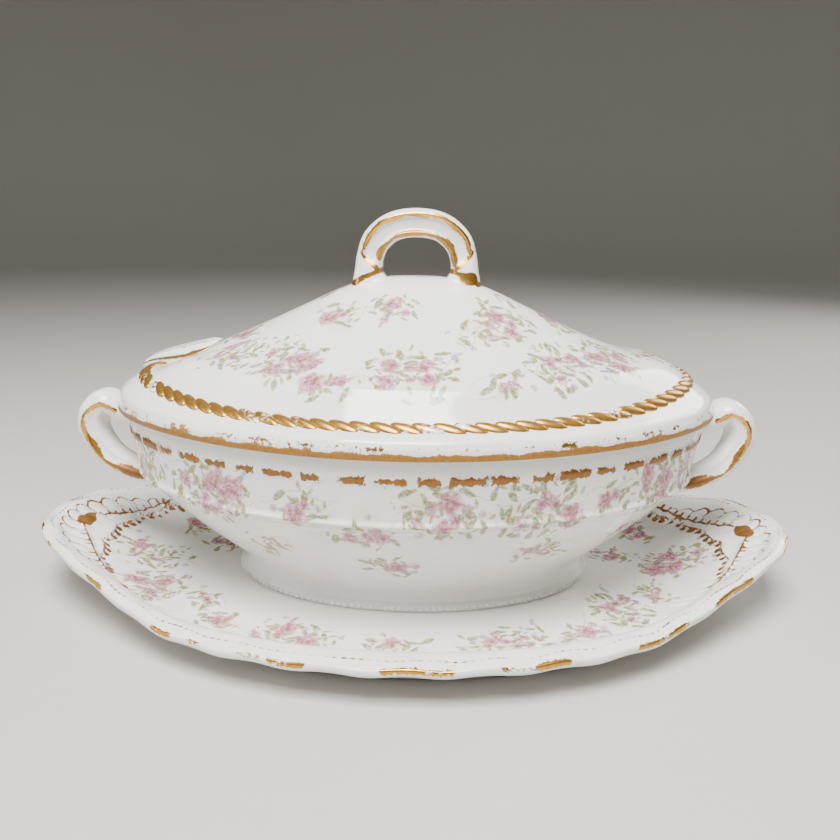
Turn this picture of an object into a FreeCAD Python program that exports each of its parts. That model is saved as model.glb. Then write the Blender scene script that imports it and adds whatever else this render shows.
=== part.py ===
"""Oval covered tureen on its underplate, in glazed porcelain.

Millimetres, +Z up, X along the length. The origin is on the table, under the middle of the
underplate. Three loose pieces stack up: the underplate, the tureen (bowl, foot and two loop
handles) and the cover (domed shell, loop handle and a hood over the ladle slot).
"""
import FreeCAD
import Part
import math
import os
from FreeCAD import Matrix, Vector

# Underplate: an oval dish whose two ends reach out and up as shell-shaped lugs
PLATE_HALF_LENGTH = 110.5     # of the oval, without the shell ends
PLATE_HALF_WIDTH = 81.0
SHELL_REACH = 17.0            # how far a shell end stands out beyond the oval
SHELL_SPREAD = 19.5           # degrees to each side over which a shell end dies away
SHELL_SQUARENESS = 2.4        # 2 is a bell-shaped end, and more has a flatter nose
RIM_HEIGHT = 12.0             # top of the rim at the middle of the long sides
SHELL_RISE = 11.7             # how much higher the rim is at the shell ends
RISE_START = 62.0             # distance from the middle at which the rim starts to rise
EDGE_THICKNESS = 2.4
BORDER_INSET = (4.5, 11.2)    # from the oval to the inner edge of the raised border
BORDER_STEP = 1.6             # drop from the border into the well
FLOOR_MARGIN = 28.0           # flat floor of the well beyond the tureen's foot, lengthwise
FLOOR_MARGIN_SIDE = 19.5      # and crosswise
FLOOR_HEIGHT = 7.3
FLOOR_THICKNESS = 4.1
FOOT_RING_WIDTH = 4.0
FOOT_RING_DRAFT = 1.5

# Tureen bowl: its foot stands on the floor of the well
FOOT_BASE = (60.3, 40.2, 0.0)   # half length, half width, and how far the ends are pointed
FOOT_TOP = (60.6, 40.6, 0.0)
FOOT_WAIST_INSET = 1.4
FOOT_WALL = 4.0
FOOT_HEIGHT = 9.3
LEDGE = (92.7, 63.4, 0.08)    # moulded ledge between the lower bowl and the upright band
LEDGE_HEIGHT = 36.9           # above the floor of the well
RIM = (96.4, 65.4, 0.14)
BOWL_HEIGHT = 56.5            # rim above the floor of the well
BELLY = 0.05                  # outward bow of the lower bowl, as a share of its flare
BOWL_WALL = 3.0
BOWL_FLOOR = 4.0

# Loop handles at the two ends of the bowl
HANDLE_REACH = 14.0           # strap centre, beyond the rim
HANDLE_RISE = 1.1             # strap centre at its highest, above the rim
HANDLE_DROP = 24.5            # strap centre at its lower root, below the rim
HANDLE_THICKNESS = 8.8
HANDLE_WIDTH = 14.0
HANDLE_ROOT_WIDTH = 9.0

# Cover
COVER_OVERHANG = 2.5          # cover beyond the bowl's rim, all round
COVER_EDGE = 3.4              # height of the upright edge
COVER_CLEARANCE = 0.5         # between the cover's edge and the handles
COVER_SHOULDER = 7.8          # border with the rope moulding, above the rim
COVER_END_RISE = 3.2          # how much higher that border is at the two ends
COVER_HEIGHT = 43.4           # top of the dome above the rim
COVER_WALL = 3.0
FLANGE_CLEARANCE = 0.5        # locating flange inside the bowl, where its lower edge hangs
FLANGE_DEPTH = 5.0
FLANGE_WALL = 2.6

# Loop handle on the cover
LOOP_HALF_SPAN = 14.8         # strap centre
LOOP_RISE = 17.0              # strap centre at the top, above the dome
LOOP_THICKNESS = 9.2
LOOP_WIDTH = 12.0
LOOP_FOOT_SPREAD = 5.2        # how far each foot leans outwards where it meets the dome

# Ladle slot in the cover, and the hood over it
HOOD_PLACE = 20.0             # middle of the hood from the long axis
HOOD_AZIMUTH = 174.0          # degrees, the way its mouth faces
HOOD_LENGTH = 30.0
HOOD_WIDTH = 23.0
HOOD_DEPTH = 13.0
HOOD_TILT = 20.0              # degrees, mouth down
HOOD_INSET = 8.0              # hood's middle, inside the cover's edge
HOOD_LIFT = 9.7               # hood's middle above the rim
HOOD_WALL = 2.0
SLOT_WIDTH = 11.0
SLOT_INNER = 8.0              # slot's inner end, from the hood's middle

RIM_Z = FLOOR_HEIGHT + BOWL_HEIGHT
LEDGE_Z = FLOOR_HEIGHT + LEDGE_HEIGHT
FOOT_TOP_Z = FLOOR_HEIGHT + FOOT_HEIGHT
OUTLINE_POINTS = 72           # on the underplate's curves
OVAL_POINTS = 24              # on the tureen's and the cover's
STRAP_STATIONS = 14           # along each handle


def save(shape, node):
    """Writes one node, and says how large it is."""
    shape.exportStep(f"parts/{node}.step")
    print(node, "solids", len(shape.Solids), "volume cm3", round(shape.Volume / 1000, 1))


def grown(size, extra):
    """An oval, larger by the same amount in half length and half width."""
    return (size[0] + extra, size[1] + extra, *size[2:])


def between(start, end, share):
    """An oval part of the way from one to another."""
    return tuple(a + (b - a) * share for a, b in zip(start, end))


def oval(size, z, end_rise=0.0):
    """An oval as a closed wire from the +X side: an ellipse with narrowed, raised ends."""
    half_length, half_width, pointed = size
    points = []
    for i in range(OVAL_POINTS):
        along, side = math.cos(i * math.tau / OVAL_POINTS), math.sin(i * math.tau / OVAL_POINTS)
        across = half_width * side * (1 - pointed * along**2)
        points.append(Vector(half_length * along, across, z + end_rise * along**4))
    curve = Part.BSplineCurve()
    curve.interpolate(Points=points, PeriodicFlag=True)
    return Part.Wire(curve.toShape())


def oval_loft(sections):
    """A solid through ovals, given from the bottom up; the first and last are level."""
    return Part.makeLoft([oval(*section) for section in sections], True, False)


def sewn(faces):
    """A closed solid from faces that share their edges."""
    shell = Part.makeShell(faces)
    shell.sewShape()
    solid = Part.makeSolid(Part.Shell(shell.Faces))
    if solid.Volume < 0:
        solid.reverse()
    return solid


# ---------------------------------------------------------------- underplate

def end_rise(x):
    """0 along the middle of the plate and 1 at its shell ends, with a smooth climb between."""
    span = PLATE_HALF_LENGTH + SHELL_REACH - RISE_START
    t = min(max((abs(x) - RISE_START) / span, 0.0), 1.0)
    return t * t * (3 - 2 * t)


def plate_ring(size, z, shell_share, rise):
    """A closed curve round the plate: an oval, with a share of the shell ends added."""
    points = []
    for i in range(OUTLINE_POINTS):
        turn = 2 * math.pi * i / OUTLINE_POINTS
        x, y = size[0] * math.cos(turn), size[1] * math.sin(turn)
        radius, angle = math.hypot(x, y), math.degrees(math.atan2(abs(y), abs(x)))
        out = shell_share * SHELL_REACH * math.exp(-((angle / SHELL_SPREAD) ** SHELL_SQUARENESS))
        x, y = x * (1 + out / radius), y * (1 + out / radius)
        points.append(Vector(x, y, z + rise * end_rise(x)))
    curve = Part.BSplineCurve()
    curve.interpolate(Points=points, PeriodicFlag=True)
    return Part.Wire(curve.toShape())


def make_underplate():
    """Well, raised border, rising shell ends and a foot ring under the edge of the floor."""
    rim = (PLATE_HALF_LENGTH, PLATE_HALF_WIDTH)
    border = (rim[0] - BORDER_INSET[0], rim[1] - BORDER_INSET[1])
    floor = (FOOT_BASE[0] + FLOOR_MARGIN, FOOT_BASE[1] + FLOOR_MARGIN_SIDE)
    slope = between(floor, border, 0.6)
    under_z = FLOOR_HEIGHT - FLOOR_THICKNESS
    foot = grown(floor, 6.0)
    foot_inside = grown(foot, -FOOT_RING_WIDTH)
    recess = grown(foot_inside, -FOOT_RING_DRAFT)

    top = [
        plate_ring(floor, FLOOR_HEIGHT, 0, 0),
        plate_ring(slope, FLOOR_HEIGHT + 0.9, 0, SHELL_RISE * 0.35),
        plate_ring(border, RIM_HEIGHT - BORDER_STEP, 0.1, SHELL_RISE * 0.6),
        plate_ring(between(border, rim, 0.35), RIM_HEIGHT - 0.2, 0.45, SHELL_RISE * 0.85),
        plate_ring(rim, RIM_HEIGHT, 1, SHELL_RISE),
    ]
    edge_below = plate_ring(rim, RIM_HEIGHT - EDGE_THICKNESS, 1, SHELL_RISE)
    under = [
        edge_below,
        plate_ring(between(foot, rim, 0.55), RIM_HEIGHT - 5.4, 0.35, SHELL_RISE * 0.7),
        plate_ring(grown(foot, 1.5), under_z, 0, 0),
    ]
    foot_outside = plate_ring(foot, 0, 0, 0)
    foot_inner = plate_ring(foot_inside, 0, 0, 0)
    recess_edge = plate_ring(recess, under_z, 0, 0)
    strips = [
        Part.makeLoft(top, False, False),
        Part.makeLoft([top[-1], edge_below], False, True),
        Part.makeLoft(under, False, False),
        Part.makeLoft([under[-1], foot_outside], False, True),
        Part.makeLoft([foot_inner, recess_edge], False, True),
    ]
    faces = [face for strip in strips for face in strip.Faces]
    faces.append(Part.Face(top[0]))
    faces.append(Part.Face([foot_outside, foot_inner]))
    faces.append(Part.Face(recess_edge))
    return sewn(faces)


# ---------------------------------------------------------------- tureen

def bowl_side(z):
    """Outer half length and half width of the bowl at a height."""
    if z >= LEDGE_Z:
        return between(LEDGE, RIM, (z - LEDGE_Z) / (RIM_Z - LEDGE_Z))
    share = (z - FOOT_TOP_Z) / (LEDGE_Z - FOOT_TOP_Z)
    bow = BELLY * math.sin(math.pi * max(share, 0.0))
    return between(FOOT_TOP, LEDGE, share + bow)


def bowl_shape(inset, bottom, top):
    """Solid inside the bowl's side, moved in by an inset: flared lower bowl and upright band."""
    steps = 6
    lower = [bottom + (LEDGE_Z - bottom) * i / steps for i in range(steps + 1)]
    flare = oval_loft([(grown(bowl_side(z), -inset), z) for z in lower])
    upper = [LEDGE_Z, (LEDGE_Z + RIM_Z) / 2, RIM_Z, top]
    band = oval_loft([(grown(bowl_side(min(z, RIM_Z)), -inset), z) for z in sorted(set(upper))])
    return flare.fuse(band).removeSplitter()


def bowl_outside():
    """Whole outer form of the bowl, down to its underside inside the foot."""
    return bowl_shape(0, FOOT_TOP_Z - BOWL_FLOOR / 2, RIM_Z)


def make_bowl(outside):
    """Open bowl with a level floor."""
    floor_z = FOOT_TOP_Z + BOWL_FLOOR / 2
    return outside.cut(bowl_shape(BOWL_WALL, floor_z, RIM_Z + 1))


def make_bowl_foot(outside):
    """Waisted oval foot, open underneath, luted to the underside of the bowl."""
    waist = grown(between(FOOT_BASE, FOOT_TOP, 0.6), -FOOT_WAIST_INSET)
    waist_z = FLOOR_HEIGHT + 0.55 * FOOT_HEIGHT
    sections = [(FOOT_BASE, FLOOR_HEIGHT), (waist, waist_z), (FOOT_TOP, FOOT_TOP_Z)]
    hollow = [(grown(size, -FOOT_WALL), z) for size, z in sections]
    return oval_loft(sections).cut(oval_loft(hollow)).cut(outside)


def strap(stations):
    """A round-edged strap along a path in the XZ plane.

    A station is the path's point (x, z), the direction (x, z) across the strap's thickness, the
    thickness and the width.
    """
    wires = []
    for point, across, thickness, width in stations:
        centre = Vector(point[0], 0, point[1])
        out = Vector(across[0], 0, across[1])
        out.normalize()
        curve = Part.Ellipse(centre + Vector(0, width / 2, 0), centre + out * (thickness / 2), centre)
        wires.append(Part.Wire(curve.toShape()))
    return Part.makeLoft(wires, True, False)


def graded(values, share):
    """A value part of the way along evenly spaced values."""
    place = share * (len(values) - 1)
    index = min(int(place), len(values) - 2)
    return values[index] + (values[index + 1] - values[index]) * (place - index)


def path_stations(points, thicknesses, widths):
    """Even stations along a smooth path through the points, square to it."""
    path = Part.BSplineCurve()
    path.interpolate([Vector(x, 0, z) for x, z in points])
    length = path.length()
    stations = []
    for i in range(STRAP_STATIONS):
        share = i / (STRAP_STATIONS - 1)
        place = path.parameterAtDistance(length * share, path.FirstParameter)
        at, run = path.value(place), path.tangent(place)[0]
        size = (graded(thicknesses, share), graded(widths, share))
        stations.append(((at.x, at.z), (run.z, -run.x), *size))
    return stations


def make_handle(outside, side):
    """Ear-shaped loop: the upper root is under the rim and the lower one below the ledge."""
    rim_x = RIM[0]
    far_x = rim_x + HANDLE_REACH
    top_z = RIM_Z + HANDLE_RISE
    low_z = RIM_Z - HANDLE_DROP
    points = [
        (rim_x - 6.0, top_z - 6.4),
        (rim_x + 2.4, top_z - 5.6),
        (far_x - 5.6, top_z - 1.1),
        (far_x - 1.3, top_z - 3.9),
        (far_x, top_z - 9.4),
        (far_x - 2.0, top_z - 15.6),
        (far_x - 6.8, low_z + 4.4),
        (far_x - 14.0, low_z + 0.7),
        (far_x - 28.0, low_z - 2.4),
    ]
    thick = [HANDLE_THICKNESS * t for t in (0.78, 0.8, 0.93, 1.0, 1.0, 0.98, 0.9, 0.8, 0.75)]
    broad, root = HANDLE_WIDTH, HANDLE_ROOT_WIDTH
    widths = [root, broad * 0.85, broad, broad, broad * 0.95, broad * 0.85, broad * 0.72, root]
    stations = path_stations(points, thick, widths)
    edge = grown(RIM, COVER_OVERHANG + COVER_CLEARANCE)
    under_edge = oval_loft([(edge, -COVER_CLEARANCE, 0.0), (edge, COVER_SHOULDER, 0.0)])
    under_edge.translate(Vector(0, 0, RIM_Z))
    handle = strap(stations).cut(outside).cut(under_edge)
    handle = max(handle.Solids, key=lambda solid: solid.Volume)
    return handle if side > 0 else handle.mirror(Vector(0, 0, 0), Vector(1, 0, 0))


# ---------------------------------------------------------------- cover

def cover_sections(inset):
    """Ovals of the cover from its edge to the top of the dome, moved in by an inset."""
    edge = grown(RIM, COVER_OVERHANG)
    border = grown(edge, -7.0)
    taper = border[1] / border[0]
    dome_rise = COVER_HEIGHT - COVER_SHOULDER
    sections = [(edge, 0.0, 0.0), (edge, COVER_EDGE, 0.0)]
    sections.append((grown(edge, -1.6), COVER_EDGE + 2.2, 0.4 * COVER_END_RISE))
    sections.append((border, COVER_SHOULDER, COVER_END_RISE))
    for share, height in ((0.88, 0.245), (0.77, 0.335), (0.64, 0.45), (0.51, 0.595),
                          (0.38, 0.75), (0.25, 0.9), (0.12, 0.98), (0.04, 1.0)):
        length = border[0] * share
        size = (length, length * taper, border[2] * share)
        end_rise = COVER_END_RISE * max(0.0, (share - 0.76) / 0.24)
        sections.append((size, COVER_SHOULDER + dome_rise * height, end_rise))
    kept = [section for section in sections if section[0][1] > inset + 0.8]
    return [(grown(size, -inset), RIM_Z + z, end_rise) for size, z, end_rise in kept]


def cover_outside():
    """Upright edge, sloping border and dome as one solid."""
    sections = cover_sections(0)
    edge = oval_loft(sections[:2])
    return edge.fuse(oval_loft(sections[1:])).removeSplitter()


def hood_middle():
    """Where the middle of the hood is, a little inside the cover's edge."""
    half_length, half_width, _ = grown(RIM, COVER_OVERHANG)
    edge_x = half_length * math.sqrt(1 - (HOOD_PLACE / half_width) ** 2)
    return Vector(HOOD_INSET - edge_x, HOOD_PLACE, RIM_Z + HOOD_LIFT)


def hood_form(shrink):
    """Leaf-shaped swelling over the ladle slot: a squashed ball, tilted with its mouth down."""
    squash = Matrix()
    squash.scale(HOOD_LENGTH / 2 - shrink, HOOD_WIDTH / 2 - shrink, HOOD_DEPTH / 2 - shrink)
    ball = Part.makeSphere(1.0).transformGeometry(squash)
    ball.rotate(Vector(0, 0, 0), Vector(0, 1, 0), HOOD_TILT)
    ball.rotate(Vector(0, 0, 0), Vector(0, 0, 1), HOOD_AZIMUTH)
    ball.translate(hood_middle())
    return ball


def slot_block(width, low, high, inner, outer):
    """A block along the hood's axis, from inside the cover out past its edge."""
    block = Part.makeBox(inner + outer, width, high - low, Vector(-inner, -width / 2, low))
    block.rotate(Vector(0, 0, 0), Vector(0, 0, 1), HOOD_AZIMUTH)
    middle = hood_middle()
    block.translate(Vector(middle.x, middle.y, 0))
    return block


def make_cover(outside):
    """Domed shell with a locating flange, and a slot at its edge for the ladle."""
    hollow = oval_loft(cover_sections(COVER_WALL)[1:])
    seat = bowl_side(RIM_Z - FLANGE_DEPTH)
    seat_open = grown(seat, -BOWL_WALL - FLANGE_CLEARANCE - FLANGE_WALL)
    drop = (RIM_Z - FLANGE_DEPTH, RIM_Z + COVER_EDGE + 0.1)
    well = oval_loft([(seat_open, z) for z in drop])
    flange = oval_loft([(grown(seat_open, FLANGE_WALL), z) for z in (drop[0], RIM_Z + 1.0)])
    shell = outside.fuse(flange).cut(hollow).cut(well)
    return shell.cut(slot_space()).removeSplitter()


def slot_space():
    """The way the ladle goes: up through the cover's edge, and out under the hood."""
    low = RIM_Z - FLANGE_DEPTH - 1
    under = slot_block(SLOT_WIDTH, low, RIM_Z + HOOD_LIFT, SLOT_INNER, HOOD_LENGTH)
    return under.fuse(hood_form(HOOD_WALL).common(
        slot_block(SLOT_WIDTH, low, RIM_Z + COVER_HEIGHT, SLOT_INNER, HOOD_LENGTH)))


def make_hood(outside):
    """Thin hood whose mouth is open downwards and outwards past the cover's edge."""
    hood = hood_form(0).cut(hood_form(HOOD_WALL)).cut(outside)
    below = Part.makeBox(400, 400, 60, Vector(-200, -200, RIM_Z + COVER_EDGE - 60))
    hood = hood.cut(slot_block(SLOT_WIDTH, RIM_Z, RIM_Z + HOOD_LIFT, SLOT_INNER, HOOD_LENGTH))
    return max(hood.cut(below).Solids, key=lambda solid: solid.Volume)


def make_cover_handle(outside):
    """Arched loop along the tureen, standing on two feet near the top of the dome."""
    dome_z = RIM_Z + COVER_HEIGHT
    top_z = dome_z + LOOP_RISE
    span = LOOP_HALF_SPAN
    foot_x = span + LOOP_FOOT_SPREAD
    half = [
        (foot_x, dome_z - 6.0),
        (span + 1.2, dome_z + 1.0),
        (span, dome_z + 7.0),
        (span * 0.72, dome_z + 13.4),
    ]
    points = [(-x, z) for x, z in half] + [(0.0, top_z)] + half[::-1]
    thick_half, wide_half = [1.3, 1.0, 1.0, 1.0], [1.35, 1.05, 0.95, 1.0]
    thick = [LOOP_THICKNESS * t for t in thick_half + [1.0] + thick_half[::-1]]
    wide = [LOOP_WIDTH * w for w in wide_half + [1.0] + wide_half[::-1]]
    loop = strap(path_stations(points, thick, wide)).cut(outside)
    return max(loop.Solids, key=lambda solid: solid.Volume)


def main():
    os.makedirs("parts", exist_ok=True)
    save(make_underplate(), "underplate")
    bowl_form = bowl_outside()
    save(make_bowl(bowl_form), "bowl")
    save(make_bowl_foot(bowl_form), "bowl_foot")
    save(make_handle(bowl_form, -1), "handle_left")
    save(make_handle(bowl_form, 1), "handle_right")
    cover_form = cover_outside()
    save(make_cover(cover_form), "cover")
    save(make_cover_handle(cover_form), "cover_handle")
    save(make_hood(cover_form), "ladle_hood")


main()
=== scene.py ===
import math

import bpy
import numpy as np
from mathutils import Matrix, Vector


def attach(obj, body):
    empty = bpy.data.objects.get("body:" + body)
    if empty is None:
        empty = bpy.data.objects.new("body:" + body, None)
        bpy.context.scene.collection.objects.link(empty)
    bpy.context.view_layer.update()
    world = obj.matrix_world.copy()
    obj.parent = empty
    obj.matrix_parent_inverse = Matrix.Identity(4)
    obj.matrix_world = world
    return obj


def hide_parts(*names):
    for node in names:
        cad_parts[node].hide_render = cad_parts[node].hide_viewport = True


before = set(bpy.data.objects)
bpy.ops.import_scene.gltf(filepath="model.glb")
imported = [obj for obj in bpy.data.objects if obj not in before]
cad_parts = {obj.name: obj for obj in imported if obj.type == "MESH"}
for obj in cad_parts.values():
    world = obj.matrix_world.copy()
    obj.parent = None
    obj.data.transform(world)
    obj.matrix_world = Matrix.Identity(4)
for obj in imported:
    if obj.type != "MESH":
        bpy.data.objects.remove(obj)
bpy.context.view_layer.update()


# ---------------------------------------------------------------- studio
# A pale sweep under a large soft box, a side fill and a rim light. The camera stands a
# quarter of a metre in front, at the height of the knob, looking down a little.

FLOOR_COLOUR = "BFBCB7"
CAMERA_PLACE = (0.00552, -0.26529, 0.12405)
CAMERA_PITCH = 0.242
CAMERA_YAW = 0.0143
CAMERA_ROLL = 0.0138
CAMERA_LENS = 34.286


def colour(hexes):
    """sRGB hex as linear RGBA."""
    parts = [int(hexes[i:i + 2], 16) / 255 for i in (0, 2, 4)]
    return (*(p / 12.92 if p <= 0.04045 else ((p + 0.055) / 1.055) ** 2.4 for p in parts), 1.0)


def add(tree, kind, inputs=(), output=0, **settings):
    """Adds a node with its settings and its inputs, by name or in order; gives one output."""
    node = tree.nodes.new(kind)
    for name, value in settings.items():
        setattr(node, name, value)
    for key, value in inputs.items() if isinstance(inputs, dict) else enumerate(inputs):
        if isinstance(value, bpy.types.NodeSocket):
            tree.links.new(value, node.inputs[key])
        elif value is not None:
            node.inputs[key].default_value = value
    return node.outputs[output] if len(node.outputs) else node


camera_data = bpy.data.cameras.new("studio_camera")
camera_data.lens = CAMERA_LENS
camera_data.sensor_width = 36.0
camera_data.clip_start = 0.01
camera = bpy.data.objects.new("studio_camera", camera_data)
camera.matrix_world = (
    Matrix.Translation(CAMERA_PLACE)
    @ Matrix.Rotation(CAMERA_YAW, 4, "Z")
    @ Matrix.Rotation(math.pi / 2 - CAMERA_PITCH, 4, "X")
    @ Matrix.Rotation(CAMERA_ROLL, 4, "Z"))
bpy.context.collection.objects.link(camera)
bpy.context.scene.camera = camera

floor_paint = bpy.data.materials.new("matt_paper_sweep")
floor_paint.use_nodes = True
floor_shader = floor_paint.node_tree.nodes["Principled BSDF"]
floor_shader.inputs["Roughness"].default_value = 0.75
floor_shader.inputs["Specular IOR Level"].default_value = 0.3
grain = add(floor_paint.node_tree, "ShaderNodeTexNoise", {"Scale": 900.0, "Detail": 3.0})
tone = add(floor_paint.node_tree, "ShaderNodeMix",
           {0: grain, 6: colour(FLOOR_COLOUR), 7: colour("C5C2BD")}, output=2, data_type="RGBA")
floor_paint.node_tree.links.new(tone, floor_shader.inputs["Base Color"])

SWEEP_SIDES = 96
sweep = [(0.8, 0.0), (2.0, 0.0), (2.35, 0.04), (2.65, 0.18), (2.82, 0.42), (2.9, 0.8), (2.92, 1.5)]
sweep_mesh = bpy.data.meshes.new("paper_sweep")
sweep_mesh.from_pydata(
    [(r * math.cos(i * math.tau / SWEEP_SIDES), r * math.sin(i * math.tau / SWEEP_SIDES), z - 0.0002)
     for r, z in sweep for i in range(SWEEP_SIDES)], [],
    [tuple(range(SWEEP_SIDES))]
    + [(ring * SWEEP_SIDES + i, (ring + 1) * SWEEP_SIDES + i,
        (ring + 1) * SWEEP_SIDES + (i + 1) % SWEEP_SIDES, ring * SWEEP_SIDES + (i + 1) % SWEEP_SIDES)
       for ring in range(len(sweep) - 1) for i in range(SWEEP_SIDES)])
sweep_mesh.shade_smooth()
sweep_mesh.materials.append(floor_paint)
paper = bpy.data.objects.new("paper_sweep", sweep_mesh)
bpy.context.collection.objects.link(paper)

for name, place, target, size, watts in (
        ("soft_box", (-0.06, -0.34, 0.72), (0.0, 0.0, 0.08), 0.4, 17.5),
        ("side_fill", (-0.95, -0.3, 0.4), (0.0, 0.0, 0.06), 0.5, 2.4),
        ("rim_light", (0.8, 0.55, 0.6), (0.0, 0.0, 0.06), 0.5, 7.0)):
    light_data = bpy.data.lights.new(name, "AREA")
    light_data.shape = "SQUARE"
    light_data.size = size
    light_data.energy = watts
    light = bpy.data.objects.new(name, light_data)
    aim = (Vector(target) - Vector(place)).to_track_quat("-Z", "Y")
    light.matrix_world = Matrix.Translation(place) @ aim.to_matrix().to_4x4()
    bpy.context.collection.objects.link(light)

world = bpy.data.worlds.new("studio_air")
world.use_nodes = True
world.node_tree.nodes["Background"].inputs["Color"].default_value = colour("EEE8DE")
world.node_tree.nodes["Background"].inputs["Strength"].default_value = 0.2
bpy.context.scene.world = world


# ---------------------------------------------------------------- underplate
# One slip-cast piece of hard-paste porcelain: a shallow oval well, a raised border with a
# lobed inner edge, and an embossed shell at each end. The gilding is burnished gold, rubbed
# thin by use, and the sprays are printed and painted over the white body.

PLATE_AROUND = 840
PLATE_RIM = (110.5, 80.99)
SHELL_REACH, SHELL_SPREAD, SHELL_SQUARENESS = 17.0, 19.5, 2.4
SHELL_RISE, RISE_START, RISE_SPAN = 11.7, 62.0, 65.5
BORDER_ROW = 45
HINGE_X = 116.0
COMB_END, COMB_LENGTH, COMB_PITCH = (94.0, 36.0), 38.0, 3.1
LOBE_PITCH = 13.0
SHELL_PITCH = 6.6
TOOTH_PITCH = 3.5
SPRAY_CELL = 200.0


def smoothstep(low, high, value):
    """0 below low, 1 above high, smooth between."""
    t = np.clip((value - low) / (high - low), 0.0, 1.0)
    return t * t * (3 - 2 * t)


def through(rows, steps):
    """A smooth curve through rows of numbers, with so many steps in each gap."""
    rows = np.asarray(rows, float)
    ends = np.vstack([2 * rows[0] - rows[1], rows, 2 * rows[-1] - rows[-2]])
    parts = []
    for gap, count in enumerate(steps):
        a, b, c, d = ends[gap:gap + 4]
        t = (np.arange(count) / count)[:, None]
        parts.append(0.5 * (2 * b + (c - a) * t + (2 * a - 5 * b + 4 * c - d) * t**2
                            + (3 * b - a - 3 * c + d) * t**3))
    return np.vstack(parts + [rows[-1:]])


def segment_distance(x, y, start, end):
    """Distance from points to a straight segment, and the share of the way along it."""
    run = np.subtract(end, start)
    share = ((x - start[0]) * run[0] + (y - start[1]) * run[1]) / (run @ run)
    share = np.clip(share, 0.0, 1.0)
    return np.hypot(x - start[0] - share * run[0], y - start[1] - share * run[1]), share


def steps_between(rings):
    """Distance from each ring to the one before it, added up."""
    gaps = np.linalg.norm(np.diff(rings, axis=0), axis=2)
    return np.vstack([np.zeros(rings.shape[1]), np.cumsum(gaps, axis=0)])


def way_round(ring):
    """Distance along a closed ring from its first point."""
    gaps = np.linalg.norm(np.roll(ring, -1, axis=0) - ring, axis=1)
    return np.concatenate([[0.0], np.cumsum(gaps)[:-1]]), gaps.sum()


def whole_pitch(length, pitch):
    """The pitch nearest to the one given that goes a whole number of times into a length."""
    return length / round(length / pitch)


def quads(low, high, around):
    """Faces between two rings, from the numbers of their first points."""
    here = np.arange(around)
    after = (here + 1) % around
    return np.stack([low + here, low + after, high + after, high + here], 1).tolist()


def closed_skin(name, rings, marks=None):
    """A closed mesh from rings in millimetres, with a pole at each end, and its marks."""
    count, around = rings.shape[:2]
    points = np.concatenate([rings.reshape(-1, 3), rings[:1].mean(1), rings[-1:].mean(1)]) / 1000
    here = np.arange(around)
    after = (here + 1) % around
    first, last = count * around, count * around + 1
    faces = []
    for ring in range(count - 1):
        faces += quads(ring * around, (ring + 1) * around, around)
    top = (count - 1) * around
    faces += [(first, int(b), int(a)) for a, b in zip(here, after)]
    faces += [(last, int(top + a), int(top + b)) for a, b in zip(here, after)]
    corners = points[np.array([face[:3] for face in faces])]
    volume = np.einsum("ij,ij->", corners[:, 0], np.cross(corners[:, 1], corners[:, 2]))
    rest = points[np.array([(f[0], f[2], f[3]) for f in faces if len(f) == 4])]
    volume += np.einsum("ij,ij->", rest[:, 0], np.cross(rest[:, 1], rest[:, 2]))
    if volume < 0:
        faces = [face[::-1] for face in faces]
    mesh = bpy.data.meshes.new(name)
    mesh.from_pydata(points.tolist(), [], faces)
    mesh.shade_smooth()
    for mark, rows in (marks or {}).items():
        values = np.concatenate([rows.ravel(), rows[:1].mean(1), rows[-1:].mean(1)])
        mesh.attributes.new(mark, "FLOAT", "POINT").data.foreach_set("value", values.astype("f4"))
    piece = bpy.data.objects.new(name, mesh)
    bpy.context.collection.objects.link(piece)
    return piece


def read(items, field, kind=float, width=1):
    """One field of every vertex, face or corner, as an array."""
    values = np.empty(len(items) * width, kind)
    items.foreach_get(field, values)
    return values.reshape(-1, width) if width > 1 else values


def paint_places(piece, sprays):
    """Gives each face the flat millimetre coordinates of its nearest spray, in a UV map.

    A spray is a point, an angle and a kind. Each has its own 200 mm cell of the map, along U
    for the spray and along V for its kind, with the spray in the middle of the cell."""
    mesh = piece.data
    places = read(mesh.vertices, "co", width=3) * 1000
    normals = read(mesh.vertex_normals, "vector", width=3)
    middles = read(mesh.polygons, "center", width=3) * 1000
    away = np.stack([((middles - centre)**2).sum(1) for centre, _, _ in sprays], 1)
    owner = np.repeat(away.argmin(1), read(mesh.polygons, "loop_total", int))
    corner = read(mesh.loops, "vertex_index", int)
    flat = np.empty((len(mesh.loops), 2))
    for index, (centre, angle, kind) in enumerate(sprays):
        mine = owner == index
        close = ((places - centre)**2).sum(1).argmin()
        up = normals[close]
        aside = np.cross((0, 0, 1), (centre[0], centre[1], 0))
        aside = aside - up * (aside @ up)
        aside /= np.linalg.norm(aside)
        above = np.cross(up, aside)
        turned = aside * math.cos(angle) + above * math.sin(angle)
        square = above * math.cos(angle) - aside * math.sin(angle)
        off = places[corner[mine]] - centre
        flat[mine, 0] = np.clip(off @ turned, -95, 95) + SPRAY_CELL * index
        flat[mine, 1] = np.clip(off @ square, -95, 95) + SPRAY_CELL * kind
    layer = mesh.uv_layers.new(name="spray")
    layer.data.foreach_set("uv", flat.ravel().astype("f4"))


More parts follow.
